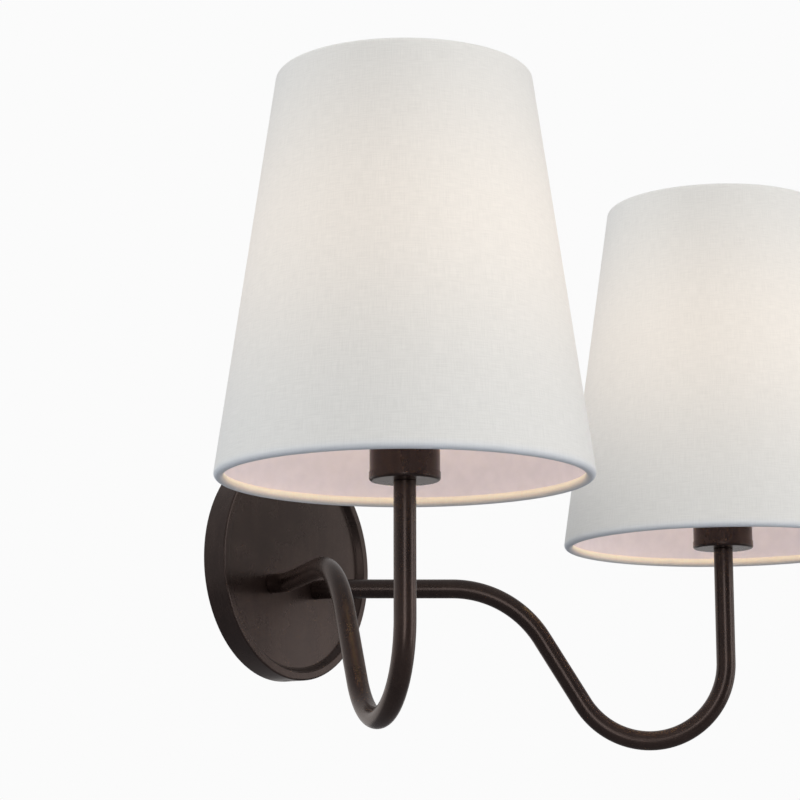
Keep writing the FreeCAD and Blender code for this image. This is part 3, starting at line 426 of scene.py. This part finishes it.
# Places on the lower bead, as v: the side that faces the lamp, which gets a painted glow, and the
# underside, which gets a painted cool shade.
HEM_INSIDE, HEM_INSIDE_REACH, HEM_GLOW = 4.2 * MM, 2.1 * MM, 0.3
HEM_UNDER, HEM_UNDER_REACH, HEM_UNDER_SHADE = 9.6 * MM, 2.6 * MM, 0.55


def linen():
    """Fine off-white weave: threads both ways with slubs, and the lamp's glow through it.

    The weave follows the surface's own u and v, and its height is sin u * sin v plus the slubs.
    The lower bead starts at v = 0, where the lining meets it. On its inner side it has a painted
    warm glow of the lamp, and its underside a painted cool shade in pale grey. The painted glow
    of the lamp through the cloth is a bell round the level of the lamp.
    """
    finish = Finish("off-white linen")
    surface = finish.split(finish.coordinates("UV"))
    warp = finish.maths("SINE", finish.maths("MULTIPLY", surface["X"], TURN / WEAVE_REPEAT))
    weft = finish.maths("SINE", finish.maths("MULTIPLY", surface["Y"], TURN / WEAVE_REPEAT))
    slub_up = finish.noise(finish.coordinates("UV", (1900, 120, 1)), 1.0, detail=2)
    slub_across = finish.noise(finish.coordinates("UV", (110, 2100, 1)), 1.0, detail=2)
    slubs = finish.maths("MULTIPLY", finish.maths("ADD", slub_up, slub_across), 0.5)
    weave = finish.maths("MULTIPLY", warp, weft)
    height = finish.maths("ADD", finish.maths("MULTIPLY", weave, 0.35), slubs)
    colour = finish.blend(finish.ramp(slubs, 0.38, 0.62), rgb(227, 226, 222), rgb(235, 234, 230))
    painted_underside_shade = finish.maths("MULTIPLY", bell(finish, surface["Y"], HEM_UNDER, HEM_UNDER_REACH),
                         HEM_UNDER_SHADE)
    level = finish.split(finish.coordinates())["Z"]
    glow = finish.maths("MULTIPLY", bell(finish, level, GLOW_LEVEL, GLOW_REACH), GLOW)
    # Painted warm glow of the lamp's light on the bead's inner side. With the glow above, it is
    # the cloth's emission, which is painted light, not a lamp.
    hem = finish.maths("MULTIPLY", bell(finish, surface["Y"], HEM_INSIDE, HEM_INSIDE_REACH),
                       HEM_GLOW)
    painted_glow_light = finish.maths("MULTIPLY", finish.maths("ADD", glow, hem),
                          finish.ramp(slubs, 0.3, 0.7, 0.94, 1.06))
    # The pale blue-grey blended in on the bead's underside is painted cool shade.
    finish.set(Base_Color=finish.blend(painted_underside_shade, colour, rgb(204, 217, 236)),
               Normal=finish.bump(height, 0.045 * MM), Emission_Strength=painted_glow_light,
               Emission_Color=(1.0, 0.68, 0.40, 1.0), Roughness=0.92, Sheen_Weight=0.2,
               Sheen_Roughness=0.6)
    return finish


def lining():
    """Smooth pinkish backing inside the shade, with a painted faint light of the day that comes
    through.
    """
    finish = Finish("shade lining")
    grain = finish.noise(finish.coordinates(), 160, detail=4)
    finish.set(Base_Color=finish.blend(finish.ramp(grain, 0.35, 0.65), rgb(224, 212, 216),
                                       rgb(230, 218, 222)),
               # The cool emission is painted light.
               Normal=finish.bump(grain, 0.03 * MM), Emission_Color=(0.82, 0.84, 1.0, 1.0),
               Emission_Strength=0.20, Roughness=0.8)
    return finish


def plain(name, colour, roughness, **values):
    """Even finish broken by a fine noise in its shade, gloss and surface."""
    finish = Finish(name)
    grain = finish.noise(finish.coordinates(), 300)
    deeper = tuple(part * 0.82 for part in colour[:3]) + (1.0,)
    finish.set(Base_Color=finish.blend(finish.ramp(grain, 0.35, 0.65), deeper, colour),
               Roughness=finish.ramp(grain, 0.3, 0.7, roughness * 0.85, roughness * 1.15),
               Normal=finish.bump(grain, 0.02 * MM), **values)
    return finish


# ---------------------------------------------------------------- stage

FLOOR_REACH, FLOOR_DROP = 1.7, 0.6
FLOOR_EVENNESS = 0.62  # share of the floor that is plain colour and takes no shadow
FILL_FROM = (0.15, 0.55, 0.82)
FILL_RANGE = (-0.5, 0.3, 0.12, 0.58)  # from this to that dot product, this to that strength
WALLWARD_RANGE = (0.45, 1.05)  # the direction's Y at which mirrored rays see no and all white


def make_floor():
    """Pale floor far below, with the object's shadow, for what the camera sees.

    To every other ray it is as dim as a room's floor, so that it throws little light up on the
    object, and from below it can be looked through.
    """
    reach, depth = FLOOR_REACH, cad_low.z - FLOOR_DROP
    mesh = bpy.data.meshes.new("floor")
    mesh.from_pydata([(-reach, -reach, depth), (reach, -reach, depth), (reach, reach, depth),
                      (-reach, reach, depth)], [], [(0, 1, 2, 3)])
    floor = add_object("floor", mesh)
    finish = Finish("pale floor")
    grain = finish.noise(finish.coordinates(), 8)
    finish.set(Base_Color=finish.blend(grain, rgb(232, 232, 232), rgb(240, 240, 240)),
               Roughness=0.9)
    even = finish.node("ShaderNodeEmission", {"Color": rgb(240, 240, 240)})["Emission"]
    dim = finish.node("ShaderNodeBsdfDiffuse", {"Color": (0.29, 0.29, 0.30, 1.0)})["BSDF"]
    clear = finish.node("ShaderNodeBsdfTransparent")["BSDF"]
    pale = finish.mix_shaders(FLOOR_EVENNESS, finish.shader.outputs["BSDF"], even)
    to_camera = finish.node("ShaderNodeLightPath")["Is Camera Ray"]
    from_below = finish.node("ShaderNodeNewGeometry")["Backfacing"]
    from_above = finish.mix_shaders(to_camera, dim, pale)
    finish.surface("Material Output", finish.mix_shaders(from_below, from_above, clear))
    clothe(finish, floor)


def make_surround():
    """World that lights the object most from behind and above.

    Its strength follows the dot product of the ray's direction and FILL_FROM. Camera and
    transmission rays see it plain white, and so do mirrored rays, the more they go towards
    the wall.
    """
    world = bpy.data.worlds.new("studio")
    bpy.context.scene.world = world
    surround = NodeTree(world)
    direction = surround.node("ShaderNodeTexCoord")["Generated"]
    towards = surround.node("ShaderNodeVectorMath", {0: direction, 1: FILL_FROM},
                            operation="DOT_PRODUCT")["Value"]
    fill = surround.nodes["Background"]
    surround.feed(fill.inputs["Color"], (0.95, 0.97, 1.0, 1.0))
    surround.feed(fill.inputs["Strength"], surround.ramp(towards, *FILL_RANGE))
    white = surround.node("ShaderNodeBackground", {"Color": (0.965, 0.965, 0.965, 1.0)})
    path = surround.node("ShaderNodeLightPath")
    wallward = surround.ramp(surround.split(direction)["Y"], *WALLWARD_RANGE)
    mirrored = surround.maths("MULTIPLY", path["Is Glossy Ray"], wallward)
    seen = surround.maths("MAXIMUM", path["Is Camera Ray"], path["Is Transmission Ray"])
    surround.surface("World Output", surround.mix_shaders(
        surround.maths("MAXIMUM", seen, mirrored), fill.outputs["Background"],
        white["Background"]))


def add_light(name, place, target, size, watts, mirrored=True, matt=True,
              colour=(1.0, 1.0, 1.0)):
    """Soft rectangle of light, which may leave out the highlights or the matt surfaces."""
    light = bpy.data.lights.new(name, "AREA")
    light.shape = "RECTANGLE"
    light.size, light.size_y = size
    light.energy = watts
    light.color = colour
    holder = add_object(name, light)
    holder.visible_glossy = mirrored
    holder.visible_diffuse = matt
    holder.location = place
    holder.rotation_mode = "QUATERNION"
    holder.rotation_quaternion = (Vector(target) - Vector(place)).to_track_quat("-Z", "Y")


LAMP_WATTS = 0.055
LAMP_YELLOW = (1.0, 0.80, 0.38)
LAMP_BALL_RADIUS = 19 * MM
LAMP_LIGHT_LEVEL = glass_level(0.36)


def add_lamp_light(name):
    """Warm light of the lit lamp, from a ball just wider than its glass."""
    light = bpy.data.lights.new("lamp_light_" + name, "POINT")
    light.energy = LAMP_WATTS
    light.color = LAMP_YELLOW
    light.shadow_soft_size = LAMP_BALL_RADIUS
    holder = add_object("lamp_light_" + name, light)
    holder.location = (*stem_axis(name), LAMP_LIGHT_LEVEL)


# From a fit to points of the plate, arms and shades in the photograph.
CAMERA_PLACE = (-1.0217, -0.8259, -0.1624)
CAMERA_YAW = math.radians(53.83)
CAMERA_PITCH = math.radians(10.84)
CAMERA_ROLL = math.radians(-0.08)
FOCAL_PIXELS, IMAGE_PIXELS, SENSOR = 2509.18, 800, 36.0


def make_camera():
    """Camera from the photograph: below the shades and to the left, looking up and right."""
    data = bpy.data.cameras.new("camera")
    data.sensor_width = SENSOR
    data.lens = FOCAL_PIXELS / IMAGE_PIXELS * SENSOR
    camera = add_object("camera", data)
    camera.matrix_world = (Matrix.Translation(CAMERA_PLACE)
                           @ Matrix.Rotation(-CAMERA_YAW, 4, "Z")
                           @ Matrix.Rotation(math.pi / 2 + CAMERA_PITCH, 4, "X")
                           @ Matrix.Rotation(CAMERA_ROLL, 4, "Z"))
    bpy.context.scene.camera = camera


# ---------------------------------------------------------------- build

def both_sides(*parts):
    """The model nodes of parts that the left and the right side each have."""
    return [nodes[part + "_" + name] for part in parts for name, _ in SIDES]


bronze = aged_bronze()
shade_cloth, shade_lining = linen(), lining()
for name, side in SIDES:
    clothe(bronze, make_arm(name, side))
    make_shade(name, shade_cloth, shade_lining)

steel = plain("zinc plate", rgb(150, 152, 154), 0.38, Metallic=1.0)
brass = plain("brass", rgb(196, 158, 92), 0.3, Metallic=1.0)
clothe(bronze, nodes["backplate"], nodes["canopy_screws"],
       *both_sides("cup_base", "cup_sleeve"))
clothe(plain("black phenolic", rgb(34, 33, 32), 0.45),
       *both_sides("lampholder_housing", "lower_ring", "upper_ring"))
clothe(steel, nodes["mounting_bar"], nodes["terminal_screws"],
       *both_sides("root_nipple", "root_washer", "root_nut", "stem_nipple", "cup_washer",
                   "cup_nut"))
clothe(brass, nodes["ground_screw"], *both_sides("screw_shell", "centre_contact"))
clothe(plain("white ceramic", rgb(226, 223, 214), 0.55), *both_sides("lampholder_core"))
clothe(plain("white coated wire", rgb(222, 220, 214), 0.4),
       *both_sides("shade_fitter", "shade_spokes", "top_wire", "bottom_wire"))
clothe(plain("white nylon", rgb(228, 226, 218), 0.5), nodes["terminal_block"])
clothe(plain("dark sheath", rgb(48, 46, 44), 0.5), *both_sides("lead"))
clothe(plain("solder", rgb(160, 160, 156), 0.4, Metallic=1.0), *both_sides("lamp_contact"))
clothe(plain("black glass", rgb(22, 22, 25), 0.15), *both_sides("lamp_insulator"))
clothe(plain("lamp cap", rgb(190, 190, 188), 0.3, Metallic=1.0), *both_sides("lamp_cap"))
clothe(plain("frosted glass, lit", rgb(255, 246, 232), 0.6,
             Emission_Color=(1.0, 0.84, 0.30, 1.0), Emission_Strength=4.6),
       *both_sides("lamp_glass"))

make_floor()
make_surround()
add_light("key", (0.9, -2.4, 0.45), (0, -0.15, 0.05), (1.0, 2.6), 23)
add_light("right window", (2.3, -1.7, -0.1), (0, -0.1, 0), (1.2, 1.6), 8,
          colour=(1.0, 0.94, 0.91))
add_light("front fill", (-2.0, -1.7, 0.7), (0, -0.15, 0.05), (2.0, 2.0), 31, mirrored=False)
add_light("box by the camera", (-2.0, -1.45, -0.1), (0, -0.15, 0.0), (0.7, 1.6), 13,
          matt=False)
add_light("bounce off the wall", (-0.9, 1.9, 0.6), (0, -0.15, 0.1), (1.8, 1.6), 17,
          mirrored=False, colour=(0.9, 0.95, 1.0))
for name, _ in SIDES:
    add_lamp_light(name)
make_camera()

scene = bpy.context.scene
scene.view_settings.view_transform = "Standard"
